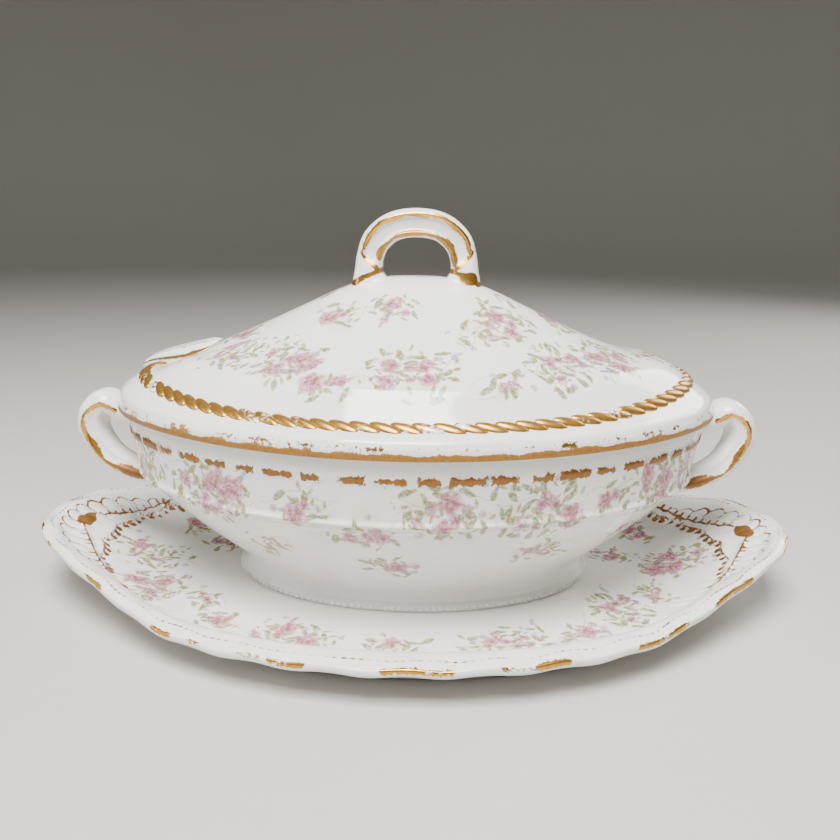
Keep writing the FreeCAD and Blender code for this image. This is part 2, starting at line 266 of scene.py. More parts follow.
def gilded_porcelain(name):
    """Glazed hard-paste porcelain with overglaze sprays and burnished gold.

    The glaze is clear and glossy over a cool white body, with a faint ripple. Gold is where
    the mark gold_mm is below nothing, worn says how ragged it is and brown how far the gold is
    dulled to a darker tone: tarnish, and painted shade on the lower part of the cover's gilded
    edge and on the inside of the cover loop."""
    material = bpy.data.materials.new(name)
    material.use_nodes = True
    tree = material.node_tree
    shader = tree.nodes["Principled BSDF"]
    place = add(tree, "ShaderNodeTexCoord", output="Object")

    # white body, a little warmer and greyer in patches 40 mm across
    cloud = add(tree, "ShaderNodeTexNoise", {"Vector": place, "Scale": 25.0, "Detail": 3.0})
    surface = add(tree, "ShaderNodeMix", {0: cloud, 6: colour("F2F1EE"), 7: colour("E9E7E1")},
                  output=2, data_type="RGBA")

    # sprays, in millimetres on the piece's own map
    raw = add(tree, "ShaderNodeUVMap", output="UV", uv_map="spray")
    cell = add(tree, "ShaderNodeVectorMath", (raw, (SPRAY_CELL,) * 3), operation="DIVIDE")
    cell = add(tree, "ShaderNodeVectorMath", (cell, (0.5, 0.5, 0.5)), operation="ADD")
    cell = add(tree, "ShaderNodeVectorMath", (cell,), operation="FLOOR")
    origin = add(tree, "ShaderNodeVectorMath", (cell, (SPRAY_CELL,) * 3), operation="MULTIPLY")
    local = add(tree, "ShaderNodeVectorMath", (raw, origin), operation="SUBTRACT")
    kind = add(tree, "ShaderNodeSeparateXYZ", (cell,), output="Y")
    which = add(tree, "ShaderNodeSeparateXYZ", (cell,), output="X")
    small = add(tree, "ShaderNodeMath", (kind, 0.5), operation="GREATER_THAN")
    reach_x = add(tree, "ShaderNodeMath", (small, -7.5, 17.0), operation="MULTIPLY_ADD")
    reach_y = add(tree, "ShaderNodeMath", (small, -4.0, 10.5), operation="MULTIPLY_ADD")
    reach = add(tree, "ShaderNodeCombineXYZ", (reach_x, reach_y))
    painted = add(tree, "ShaderNodeAttribute", output="Fac", attribute_name="painted")
    brush = add(tree, "ShaderNodeTexNoise",
                {"Vector": raw, "Scale": 0.9, "Detail": 5.0, "Roughness": 0.8})
    brush = add(tree, "ShaderNodeMapRange", (brush, 0.36, 0.58, 0.4, 1.0))
    stain = add(tree, "ShaderNodeMath", (brush, painted), operation="MULTIPLY")
    wander = add(tree, "ShaderNodeTexNoise", {"Vector": raw, "Scale": 0.12, "Detail": 1.0},
                 output="Color")
    wander = add(tree, "ShaderNodeVectorMath", (wander, (0.5, 0.5, 0.5)), operation="SUBTRACT")
    wander = add(tree, "ShaderNodeVectorMath", (wander, (2.4, 2.4, 0.0)), operation="MULTIPLY")
    bent = add(tree, "ShaderNodeVectorMath", (raw, wander), operation="ADD")

    # cell size, shape size, shift, spread, chance, strength, outer and inner colours, leaf
    for pitch, size, shift, spread, chance, strength, outer, inner, leaf in (
            (9.0, 6.5, 47.0, 1.1, 1.1, 0.3, "D3D8B4", "BBC48C", False),
            (4.2, 3.2, 31.0, 1.15, 2.0, 0.95, "9FA95C", "66732F", True),
            (3.2, 2.1, 57.0, 1.2, 1.3, 0.85, "B9A04E", "8A7430", True),
            (4.4, 1.5, 13.0, 1.25, 0.8, 0.7, "CDB2C8", "84688C", False),
            (9.4, 4.4, 0.0, 0.72, 2.2, 0.95, "DE9FB0", "9C4463", False),
            (5.2, 2.3, 83.0, 0.75, 1.2, 0.85, "D99AB0", "92456A", False)):
        moved = add(tree, "ShaderNodeVectorMath", (bent, (shift, shift, 0.0)), operation="ADD")
        seeds = add(tree, "ShaderNodeTexVoronoi",
                    {"Vector": moved, "Scale": 1 / pitch, "Randomness": 0.9 if leaf else 0.6},
                    output="Color", voronoi_dimensions="2D")
        middle = seeds.node.outputs["Position"]
        chances = add(tree, "ShaderNodeSeparateColor", (seeds,))
        chance_a, chance_b, chance_c = chances.node.outputs[:3]
        offset = add(tree, "ShaderNodeVectorMath", (moved, middle), operation="SUBTRACT")
        turn = add(tree, "ShaderNodeMath", (chance_b, math.tau), operation="MULTIPLY")
        offset = add(tree, "ShaderNodeVectorRotate", {"Vector": offset, "Angle": turn},
                     rotation_type="Z_AXIS")
        across = add(tree, "ShaderNodeSeparateXYZ", (offset,), output="X")
        upward = across.node.outputs["Y"]
        grown = add(tree, "ShaderNodeMath", (chance_c, 0.45 * size, 0.7 * size),
                    operation="MULTIPLY_ADD")
        if leaf:
            along = add(tree, "ShaderNodeMath", (across, grown), operation="DIVIDE")
            bow = add(tree, "ShaderNodeMath", (along, along), operation="MULTIPLY")
            wide = add(tree, "ShaderNodeMath", (grown, 0.36), operation="MULTIPLY")
            side = add(tree, "ShaderNodeMath", (upward,), operation="ABSOLUTE")
            side = add(tree, "ShaderNodeMath", (side, wide), operation="DIVIDE")
            shape = add(tree, "ShaderNodeMath", (side, bow), operation="ADD")
        else:
            away = add(tree, "ShaderNodeVectorMath", (offset,), output="Value", operation="LENGTH")
            angle = add(tree, "ShaderNodeMath", (upward, across), operation="ARCTAN2")
            petals = add(tree, "ShaderNodeMath", (angle, 5.0), operation="MULTIPLY")
            petals = add(tree, "ShaderNodeMath", (petals,), operation="COSINE")
            petals = add(tree, "ShaderNodeMath", (petals, 0.1, 0.9), operation="MULTIPLY_ADD")
            edge = add(tree, "ShaderNodeMath", (grown, petals), operation="MULTIPLY")
            shape = add(tree, "ShaderNodeMath", (away, edge), operation="DIVIDE")
        inside = add(tree, "ShaderNodeMapRange", (shape, 1.05, 0.7, 0.0, 1.0),
                     interpolation_type="SMOOTHSTEP")
        back = add(tree, "ShaderNodeVectorMath", (middle, (shift, shift, 0.0)),
                   operation="SUBTRACT")
        back = add(tree, "ShaderNodeVectorMath", (back, origin), operation="SUBTRACT")
        far = add(tree, "ShaderNodeVectorMath", (back, reach), operation="DIVIDE")
        far = add(tree, "ShaderNodeVectorMath", (far,), output="Value", operation="LENGTH")
        share = add(tree, "ShaderNodeMath", (far, -chance / spread, chance),
                    operation="MULTIPLY_ADD")
        here = add(tree, "ShaderNodeMath", (share, chance_a), operation="GREATER_THAN")
        cover = add(tree, "ShaderNodeMath", (inside, here), operation="MULTIPLY")
        cover = add(tree, "ShaderNodeMath", (cover, stain), operation="MULTIPLY")
        cover = add(tree, "ShaderNodeMath", (cover, strength), operation="MULTIPLY")
        tint = add(tree, "ShaderNodeMath", (brush, -0.9, 0.55), operation="MULTIPLY_ADD")
        tint = add(tree, "ShaderNodeMath", (shape, tint), operation="ADD")
        tint = add(tree, "ShaderNodeMapRange", (tint, 0.1, 0.95, 0.0, 1.0))
        tint = add(tree, "ShaderNodeMix", {0: tint, 6: colour(inner), 7: colour(outer)},
                   output=2, data_type="RGBA")
        surface = add(tree, "ShaderNodeMix", {0: cover, 6: surface, 7: tint},
                      output=2, data_type="RGBA")

    # stems and twigs drawn thin, and a grey-blue scroll beside each large spray
    flat_x = add(tree, "ShaderNodeSeparateXYZ", (local,), output="X")
    flat_y = flat_x.node.outputs["Y"]
    fade = add(tree, "ShaderNodeMath", (flat_x, reach_x), operation="DIVIDE")
    fade = add(tree, "ShaderNodeMath", (fade,), operation="ABSOLUTE")
    fade = add(tree, "ShaderNodeMapRange", (fade, 1.35, 1.0, 0.0, 0.7))
    fade = add(tree, "ShaderNodeMath", (fade, stain), operation="MULTIPLY")
    for pace, swing, drop in ((0.21, 2.6, 0.0), (0.34, 1.7, 3.4)):
        phase = add(tree, "ShaderNodeMath", (which, 2.3, drop), operation="MULTIPLY_ADD")
        phase = add(tree, "ShaderNodeMath", (flat_x, pace, phase), operation="MULTIPLY_ADD")
        curve = add(tree, "ShaderNodeMath", (phase,), operation="SINE")
        curve = add(tree, "ShaderNodeMath", (curve, swing, drop), operation="MULTIPLY_ADD")
        curve = add(tree, "ShaderNodeMath", (flat_y, curve), operation="SUBTRACT")
        curve = add(tree, "ShaderNodeMath", (curve,), operation="ABSOLUTE")
        curve = add(tree, "ShaderNodeMapRange", (curve, 0.32, 0.1, 0.0, 0.6))
        curve = add(tree, "ShaderNodeMath", (curve, fade), operation="MULTIPLY")
        surface = add(tree, "ShaderNodeMix", {0: curve, 6: surface, 7: colour("8B8A52")},
                      output=2, data_type="RGBA")
    large = add(tree, "ShaderNodeMath", (1.0, small), operation="SUBTRACT")
    large = add(tree, "ShaderNodeMath", (large, painted), operation="MULTIPLY")
    for middle_x, middle_y, radius, start in (
            (15.0, 6.0, 3.6, -1.0), (20.2, 3.6, 2.0, 0.6), (-17.0, 5.6, 2.6, 0.9),
            (-21.0, 1.6, 3.4, -1.0)):
        out_x = add(tree, "ShaderNodeMath", (flat_x, middle_x), operation="SUBTRACT")
        out_y = add(tree, "ShaderNodeMath", (flat_y, middle_y), operation="SUBTRACT")
        ring = add(tree, "ShaderNodeCombineXYZ", (out_x, out_y))
        ring = add(tree, "ShaderNodeVectorMath", (ring,), output="Value", operation="LENGTH")
        ring = add(tree, "ShaderNodeMath", (ring, radius), operation="SUBTRACT")
        ring = add(tree, "ShaderNodeMath", (ring,), operation="ABSOLUTE")
        bearing = add(tree, "ShaderNodeMath", (out_y, out_x), operation="ARCTAN2")
        swell = add(tree, "ShaderNodeMath", (bearing, 0.12, 0.5), operation="MULTIPLY_ADD")
        ring = add(tree, "ShaderNodeMath", (ring, swell), operation="DIVIDE")
        ring = add(tree, "ShaderNodeMapRange", (ring, 1.0, 0.5, 0.0, 0.75))
        arc = add(tree, "ShaderNodeMath", (bearing, start), operation="GREATER_THAN")
        arc = add(tree, "ShaderNodeMath", (arc, large), operation="MULTIPLY")
        ring = add(tree, "ShaderNodeMath", (ring, arc), operation="MULTIPLY")
        surface = add(tree, "ShaderNodeMix", {0: ring, 6: surface, 7: colour("94A2AE")},
                      output=2, data_type="RGBA")

    # gold, with an edge that is rubbed away
    gold_mm = add(tree, "ShaderNodeAttribute", output="Fac", attribute_name="gold_mm")
    worn = add(tree, "ShaderNodeAttribute", output="Fac", attribute_name="worn")
    brown_and_shade = add(tree, "ShaderNodeAttribute", output="Fac", attribute_name="brown_and_shade")
    fine = add(tree, "ShaderNodeTexNoise",
               {"Vector": place, "Scale": 900.0, "Detail": 4.0, "Roughness": 0.7})
    broad = add(tree, "ShaderNodeTexNoise", {"Vector": place, "Scale": 130.0, "Detail": 3.0})
    rub = add(tree, "ShaderNodeMath", (fine, broad), operation="ADD")
    rub = add(tree, "ShaderNodeMath", (rub, 1.02), operation="SUBTRACT")
    depth = add(tree, "ShaderNodeMath", (worn, 3.6, 0.9), operation="MULTIPLY_ADD")
    rub = add(tree, "ShaderNodeMath", (rub, depth), operation="MULTIPLY")
    edge = add(tree, "ShaderNodeMath", (gold_mm, rub), operation="ADD")
    gold = add(tree, "ShaderNodeMapRange", (edge, 0.1, -0.12, 0.0, 1.0),
               interpolation_type="SMOOTHSTEP")
    lustre = add(tree, "ShaderNodeMix", {0: brown_and_shade, 6: colour("DDA84E"), 7: colour("875828")},
                 output=2, data_type="RGBA")
    shade = add(tree, "ShaderNodeMapRange", (fine, 0.35, 0.65, 0.75, 1.1))
    lustre = add(tree, "ShaderNodeMix", {0: 1.0, 6: lustre, 7: shade}, output=2,
                 data_type="RGBA", blend_type="MULTIPLY")
    surface = add(tree, "ShaderNodeMix", {0: gold, 6: surface, 7: lustre},
                  output=2, data_type="RGBA")
    bright = add(tree, "ShaderNodeMapRange", (brown_and_shade, 0.0, 1.0, 1.0, 0.5))
    metal = add(tree, "ShaderNodeMath", (gold, bright), operation="MULTIPLY")
    matt = add(tree, "ShaderNodeMapRange", (brown_and_shade, 0.0, 1.0, 0.24, 0.42))
    sheen = add(tree, "ShaderNodeMapRange", (cloud, 0.3, 0.7, 0.07, 0.12))
    rough = add(tree, "ShaderNodeMix", {0: gold, 2: sheen, 3: matt}, data_type="FLOAT")

    # ripple of the glaze, and the gold lying on it
    ripple = add(tree, "ShaderNodeTexNoise", {"Vector": place, "Scale": 160.0, "Detail": 2.0})
    height = add(tree, "ShaderNodeMath", (gold, 0.25, ripple), operation="MULTIPLY_ADD")
    bump = add(tree, "ShaderNodeBump", {"Height": height, "Strength": 0.22, "Distance": 0.0003},
               output="Normal")
    tree.links.new(surface, shader.inputs["Base Color"])
    tree.links.new(metal, shader.inputs["Metallic"])
    tree.links.new(rough, shader.inputs["Roughness"])
    tree.links.new(bump, shader.inputs["Normal"])
    shader.inputs["IOR"].default_value = 1.52
    return material


def finished(piece, body, *nodes):
    """Gives a piece its material and its place in the model."""
    piece.data.materials.clear()
    piece.data.materials.append(porcelain)
    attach(piece, body)
    if nodes:
        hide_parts(*nodes)


porcelain = gilded_porcelain("gilded_hard_paste_porcelain")

plate_turn = np.arange(PLATE_AROUND) * math.tau / PLATE_AROUND


def plate_rings(rows):
    """Rings of the plate from rows of half length, half width, height, shell share and rise."""
    a, b, z, shell, rise = (rows[:, i:i + 1] for i in range(5))
    x, y = a * np.cos(plate_turn), b * np.sin(plate_turn)
    angle = np.degrees(np.arctan2(np.abs(y), np.abs(x)))
    out = shell * SHELL_REACH * np.exp(-((angle / SHELL_SPREAD) ** SHELL_SQUARENESS))
    swell = 1 + out / np.hypot(x, y)
    x, y = x * swell, y * swell
    climb = smoothstep(RISE_START, RISE_START + RISE_SPAN, np.abs(x))
    return np.stack([x, y, z + rise * climb], 2)


plate_top = plate_rings(through([
    (0.6, 0.4, 7.3, 0, 0),
    (50.0, 34.0, 7.3, 0, 0),
    (82.0, 54.5, 7.3, 0, 0),
    (88.3, 59.7, 7.35, 0, 0.1),
    (98.92, 65.76, 8.2, 0, 4.1),
    (106.0, 69.8, 10.4, 0.1, 7.0),
    (107.6, 73.7, 11.8, 0.45, 9.9),
    (110.3, 80.7, 12.0, 1, SHELL_RISE)], (6, 8, 4, 13, 14, 15, 22)))
plate_edge = plate_rings(np.array([
    (*PLATE_RIM, height, 1, SHELL_RISE) for height in (11.7, 10.9, 10.2)]))
plate_under = plate_rings(through([
    (110.2, 80.6, 9.6, 1, SHELL_RISE),
    (103.2, 74.1, 6.6, 0.35, 8.2),
    (95.8, 67.2, 3.2, 0, 0)], (10, 8)))
plate_foot = plate_rings(np.array([
    (94.7, 66.1, 0.9, 0, 0), (94.2, 65.6, 0.15, 0, 0), (93.6, 65.0, 0.0, 0, 0),
    (91.0, 62.4, 0.0, 0, 0), (90.4, 61.8, 0.15, 0, 0), (89.9, 61.3, 0.9, 0, 0),
    (88.8, 60.2, 3.2, 0, 0), (50.0, 34.0, 3.2, 0, 0), (0.6, 0.4, 3.2, 0, 0)]))

# the relief and the gold follow the distance in from the rim and the way round it
inset = steps_between(plate_top[::-1])[::-1]
rim_way, rim_length = way_round(plate_top[-1])
border_inset = inset[BORDER_ROW]
well_way, well_length = way_round(plate_top[BORDER_ROW])
lobe = whole_pitch(well_length, LOBE_PITCH)
scallop = np.abs(np.sin(math.pi * well_way / lobe))
into_well = inset - border_inset - 2.0 * scallop + 1.2
end_share = smoothstep(62.0, 88.0, np.abs(plate_top[..., 0]))
x_top, y_top = plate_top[..., 0], plate_top[..., 1]
near_end = np.abs(x_top) > 60
shell_window = smoothstep(38.0, 30.0, np.abs(y_top)) * near_end

pitch = whole_pitch(rim_length, SHELL_PITCH)
wave = np.abs(np.sin(math.pi * rim_way / pitch))
line_inset = 5.0 + 4.2 * np.clip(np.abs(plate_top[-1, :, 1]) / 36.0, 0, 1.3) ** 2
from_line = inset - line_inset - 1.7 * (1 - wave)
hinge = np.hypot((np.abs(x_top) - HINGE_X) / 3.2, y_top / 6.2)
flute = shell_window * smoothstep(0.0, 1.5, from_line) * smoothstep(13.0, 6.0, from_line)
comb, comb_share = segment_distance(np.abs(x_top), np.abs(y_top), (HINGE_X - 1.0, 5.0), COMB_END)

relief = 0.75 * smoothstep(0.9, -0.9, into_well) - 0.6 * smoothstep(-0.6, 1.6, into_well) \
    * smoothstep(9.0, 2.0, into_well)
relief += 0.75 * flute * (wave - 0.45)
relief += 0.7 * np.exp(-hinge**2 * 0.8) * near_end
relief -= 2.0 * smoothstep(4.0, 9.0, inset) * smoothstep(24.0, 15.0, inset) * smoothstep(
    94.0, 108.0, np.abs(x_top))
relief += 0.6 * np.exp(-(comb / 0.9) ** 2) * near_end
relief *= smoothstep(0.4, 2.5, inset) * smoothstep(32.0, 24.0, inset - border_inset)
plate_top[..., 2] += relief
ripple_rim = 0.35 * np.sin(math.tau * rim_way / whole_pitch(rim_length, 21.0))
for part, fade in ((plate_top, smoothstep(9.0, 0.0, inset)),
                   (plate_edge, 1.0), (plate_under, np.linspace(1, 0, 19)[:, None])):
    part[..., 2] += ripple_rim * fade

tooth = whole_pitch(well_length, TOOTH_PITCH)
tooth_way = (well_way / tooth + 0.5) % 1.0 - 0.5
tooth_size = 0.3 + 0.55 * end_share
teeth = (np.hypot(tooth_way * tooth / (tooth_size * 1.35), (into_well - 1.5) / (tooth_size * 1.25))
         - 1) * tooth_size
well_line = np.abs(into_well - 0.1) - 0.24 * end_share - 0.03
shell_line = np.abs(from_line) - 0.34 + 10 * (1 - shell_window)
cusp = (rim_way / pitch + 0.5) % 1.0 - 0.5
tick = np.maximum(np.abs(cusp) * pitch - 0.28, np.abs(from_line - 1.6) - 1.7)
tick = tick + 10 * (1 - shell_window)
comb_line = comb - 0.36
comb_tooth = (comb_share * COMB_LENGTH / COMB_PITCH + 0.5) % 1.0 - 0.5
beyond = (np.abs(x_top) - COMB_END[0]) * 31.0 - (COMB_END[1] - np.abs(y_top)) * 21.0
comb_tick = np.maximum(np.abs(comb_tooth) * COMB_PITCH - 0.4, comb - 2.3) + 9.0 * (beyond < 0)
comb_tick = np.where(comb_share * (1 - comb_share) > 0.03, comb_tick, 9.0)
hinge_gold = (hinge - 0.85) * 3.0
dot_pitch = whole_pitch(rim_length, 2.3)
dots = (rim_way / dot_pitch + 0.5) % 1.0 - 0.5
dots = np.hypot(dots * dot_pitch / 2.0, inset - 3.1 - 0.5 * np.sin(rim_way / 3.0)) - 0.28
bald = (0.4 + 0.32 * np.sin(rim_way / 5.7 + 0.6) + 0.2 * np.sin(rim_way / 2.3 + 1.0)
        + 0.12 * smoothstep(20.0, 90.0, -plate_top[-1, :, 0]))
edge_gold = 3.4 * np.clip(bald, 0.2, 1.2) - 1.1
rim_gold = inset + edge_gold
brown_top = np.minimum.reduce(
    [teeth, well_line, shell_line, tick, comb_line, comb_tick, hinge_gold, dots])
gold_top = np.minimum(brown_top, rim_gold)
worn_top = np.where(rim_gold < brown_top, 0.5, 0.02) + 0 * gold_top
brown_tone = np.where(rim_gold < brown_top, 0.15, 0.85) + 0 * gold_top

others = sum(len(part) for part in (plate_edge, plate_under, plate_foot))
gold_rest = np.full((others, PLATE_AROUND), 9.0)
gold_rest[:2] = edge_gold
gold_rest[2] = edge_gold + 0.8
worn_rest = np.full((others, PLATE_AROUND), 0.35)
painted_top = smoothstep(0.0, 2.5, into_well)
plate = closed_skin("oval_underplate", np.concatenate(
    [plate_top, plate_edge, plate_under, plate_foot]), {
    "gold_mm": np.concatenate([gold_top, gold_rest]),
    "worn": np.concatenate([worn_top, worn_rest]),
    "brown_and_shade": np.concatenate([brown_tone, worn_rest * 0.5]),
    "painted": np.concatenate([painted_top, 0 * gold_rest])})

plate_sprays = []
for x, y, angle, kind in (
        (-92, -3, 1.3, 0), (92, -1, 1.8, 0), (-84, 27, 0.3, 1), (84, 28, 0.2, 1),
        (-66, -33, 0.2, 1), (66, -36, 0.1, 0), (-82, -26, 0.3, 0), (-33, -58, 0.1, 0),
        (-58, -47, 0.0, 1), (-4, -60, 0.0, 1), (30, -57, 0.0, 0), (52, -50, 0.2, 1),
        (80, -24, 0.4, 1), (-52, 48, 0.0, 0), (-16, 60, 0.1, 1), (20, 59, 0.0, 0),
        (56, 48, 0.1, 1), (-70, 12, 1.2, 1), (72, 8, 1.4, 1)):
    plate_sprays.append(((x, y, 8.0), angle, kind))
paint_places(plate, plate_sprays)
finished(plate, "stand", "underplate")


# ---------------------------------------------------------------- bowl
# Slip-cast oval bowl: a flared lower part, a moulded ledge and an upright band with a row of
# embossed bars under the rim, picked out in gold that has turned brown with use.

AROUND = 720
FOOT_TOP, LEDGE, RIM = (60.6, 40.6, 0.0), (92.7, 63.4, 0.08), (96.4, 65.4, 0.14)
FOOT_TOP_Z, LEDGE_Z, RIM_Z = 16.6, 44.2, 63.8
BELLY = 0.05
BOWL_WALL = 3.0
BAR_Z = 57.6
BAR_PITCH = 10.4

turn = np.arange(AROUND) * math.tau / AROUND
cosine, sine = np.cos(turn), np.sin(turn)


def oval_rings(rows):
    """Rings from rows of half length, half width, how far pointed, height and end rise."""
    a, b, pointed, z, end_rise = (rows[:, i:i + 1] for i in range(5))
    x = a * cosine
    y = b * sine * (1 - pointed * cosine**2)
    return np.stack([x, y, z + end_rise * cosine**4 + 0 * x], 2)


def bowl_rows(heights, shrink):
    """Rows for the bowl's side at some heights, moved in by an inset."""
    rows = []
    for z in heights:
        if z >= LEDGE_Z:
            size = np.add(LEDGE, np.subtract(RIM, LEDGE) * (z - LEDGE_Z) / (RIM_Z - LEDGE_Z))
        else:
            share = (z - FOOT_TOP_Z) / (LEDGE_Z - FOOT_TOP_Z)
            share += BELLY * math.sin(math.pi * max(share, 0.0))
            size = np.add(FOOT_TOP, np.subtract(LEDGE, FOOT_TOP) * share)
        rows.append((size[0] - shrink, size[1] - shrink, size[2], z, 0))
    return np.array(rows)


def pushed(rings, amount):
    """Rings moved out level, square to the oval."""
    ahead = np.roll(rings, -1, axis=1) - np.roll(rings, 1, axis=1)
    square = np.stack([ahead[..., 1], -ahead[..., 0], 0 * ahead[..., 0]], 2)
    square /= np.linalg.norm(square, axis=2)[..., None]
    return rings + square * amount[..., None]


outer_heights = np.concatenate([
    np.linspace(16.0, 41.0, 26), np.linspace(41.5, 47.5, 17), np.linspace(48.2, 55.0, 12),
    np.linspace(55.4, 60.0, 13), np.linspace(60.8, 63.2, 4)])
bowl_outer = oval_rings(bowl_rows(outer_heights, 0.0))
z_outer = bowl_outer[..., 2]
bowl_way, bowl_length = way_round(bowl_outer[-8])
bar = whole_pitch(bowl_length, BAR_PITCH)
bar_index = np.floor(bowl_way / bar)
bar_way = (bowl_way / bar) % 1.0 - 0.5
bar_half = 3.9 + 0.9 * np.sin(bar_index * 2.4)
bars = np.maximum(np.abs(bar_way * bar) - bar_half,
                  np.abs(z_outer - BAR_Z) - 1.05 - 0.4 * np.sin(bowl_way * 5.3) * np.sin(bowl_way * 0.9))
ledge = 0.95 * np.exp(-((z_outer - 44.4) / 0.85) ** 2) + 0.35 * np.exp(
    -((z_outer - 42.1) / 0.5) ** 2)
bowl_outer = pushed(bowl_outer, ledge + 0.4 * smoothstep(0.4, -0.5, bars)
                    + 0.25 * np.exp(-((z_outer - 61.5) / 0.7) ** 2))
bowl_rim = oval_rings(np.array([
    (*np.subtract(RIM[:2], 0.35), RIM[2], 63.7, 0), (*np.subtract(RIM[:2], 1.0), RIM[2], 63.8, 0),
    (*np.subtract(RIM[:2], 2.2), RIM[2], 63.8, 0), (*np.subtract(RIM[:2], 2.8), RIM[2], 63.6, 0)]))
bowl_inner = oval_rings(bowl_rows(np.linspace(63.0, 19.4, 30), BOWL_WALL))
bowl_floor = oval_rings(np.array([
    (55.0, 35.0, 0, 18.7, 0), (50.0, 31.0, 0, 18.6, 0), (25.0, 16.0, 0, 18.6, 0),
    (0.6, 0.4, 0, 18.6, 0)]))
bowl_base = oval_rings(np.array([
    (0.6, 0.4, 0, 14.6, 0), (30.0, 20.0, 0, 14.6, 0), (55.0, 35.4, 0, 14.6, 0),
    (58.2, 38.3, 0, 14.9, 0)]))
bowl_rings = np.concatenate([bowl_base, bowl_outer, bowl_rim, bowl_inner, bowl_floor])
gold_bowl = np.full(bowl_rings.shape[:2], 9.0)
near_handle = np.abs(np.abs(np.degrees(turn - math.pi)) - 90) > 83.0
band = slice(len(bowl_base), len(bowl_base) + len(bowl_outer))
gold_bowl[band] = np.where(near_handle[None], 9.0, bars)
root_edge = np.hypot((z_outer - 55.0) / 4.6, (np.abs(bowl_outer[..., 1]) - 8.2) / 0.7) - 1
root_edge = np.where(np.abs(bowl_outer[..., 0]) > 80, root_edge, 9.0)
gold_bowl[band] = np.minimum(gold_bowl[band], root_edge)
painted_bowl = np.zeros(bowl_rings.shape[:2])
painted_bowl[band] = smoothstep(60.5, 57.0, z_outer) * smoothstep(17.5, 20.0, z_outer)
bowl = closed_skin("oval_bowl", bowl_rings, {
    "gold_mm": gold_bowl, "worn": np.full(gold_bowl.shape, 0.5), "painted": painted_bowl,
    "brown_and_shade": np.full(gold_bowl.shape, 0.9)})
bowl_sprays = []
for degrees, height, angle, kind in (
        (-152, 51, 0.2, 0), (-128, 49, -0.15, 0), (-109, 48, 0.1, 1), (-98, 40, 0.1, 1),
        (-84, 49, 0.1, 0), (-67, 47, -0.1, 0), (-50, 50, 0.3, 1), (-39, 50, 0.1, 0),
        (-22, 51, 0.3, 0), (-8, 46, 0.2, 1), (-122, 31, 0.3, 1), (-93, 27, 0.0, 1),
        (-62, 31, 0.2, 1), (-35, 32, 0.2, 1), (22, 50, 0.2, 0), (46, 49, -0.1, 0),
        (68, 47, 0.2, 1), (88, 49, 0.0, 0), (111, 47, 0.1, 1), (132, 50, -0.2, 0),
        (155, 50, 0.2, 0), (172, 46, 0.1, 1), (60, 30, 0.1, 1), (100, 29, 0.2, 1),
        (135, 32, 0.2, 1)):
    row = bowl_rows([height], 0.0)[0]
    bearing = math.radians(degrees)
    spot = (row[0] * math.cos(bearing),
            row[1] * math.sin(bearing) * (1 - row[2] * math.cos(bearing) ** 2), height)
    bowl_sprays.append((spot, angle, kind))
paint_places(bowl, bowl_sprays)
finished(bowl, "tureen", "bowl")


# ---------------------------------------------------------------- foot
# A waisted oval foot, cast apart and luted under the bowl with slip. A row of small pearls
# runs round its bottom edge.

PEARL_COUNT = 150
PEARL_RADIUS = 0.8

foot_rows = np.vstack([
    through([(56.6, 36.6, 0, 16.4, 0), (55.0, 34.9, 0, 12.4, 0), (56.3, 36.2, 0, 7.6, 0)], (6, 6)),
    [(56.7, 36.6, 0, 7.32, 0), (59.8, 39.7, 0, 7.32, 0), (60.25, 40.15, 0, 7.5, 0),
     (60.3, 40.2, 0, 8.3, 0), (60.1, 40.0, 0, 9.2, 0)],
    through([(59.3, 39.2, 0, 9.9, 0), (59.0, 39.0, 0, 12.4, 0), (59.5, 39.5, 0, 14.8, 0),
             (60.6, 40.6, 0, 16.7, 0)], (5, 5, 5))])
foot_rings = oval_rings(foot_rows)
foot = bpy.data.objects.new("oval_foot", bpy.data.meshes.new("oval_foot"))
foot_count = len(foot_rings)
foot_faces = []
for ring in range(foot_count):
    foot_faces += quads(ring * AROUND, (ring + 1) % foot_count * AROUND, AROUND)
foot.data.from_pydata((foot_rings.reshape(-1, 3) / 1000).tolist(), [], foot_faces)
foot.data.shade_smooth()
bpy.context.collection.objects.link(foot)


def plain_marks(piece, gold=9.0, worn=0.5, painted=0.0, brown_and_shade=0.5):
    """The same mark all over a piece."""
    for mark, value in (("gold_mm", gold), ("worn", worn), ("painted", painted),
                        ("brown_and_shade", brown_and_shade)):
        layer = piece.data.attributes.new(mark, "FLOAT", "POINT")
        layer.data.foreach_set("value", np.full(len(piece.data.vertices), value, "f4"))


plain_marks(foot)
finished(foot, "tureen", "bowl_foot")


def loop_of_points(name, points, normals):
    """A closed wire of edges through points, with a direction kept at each one."""
    mesh = bpy.data.meshes.new(name)
    count = len(points)
    mesh.from_pydata((points / 1000).tolist(), [(i, (i + 1) % count) for i in range(count)], [])
    layer = mesh.attributes.new("outward", "FLOAT_VECTOR", "POINT")
    layer.data.foreach_set("vector", normals.ravel().astype("f4"))
    piece = bpy.data.objects.new(name, mesh)
    bpy.context.collection.objects.link(piece)
    return piece


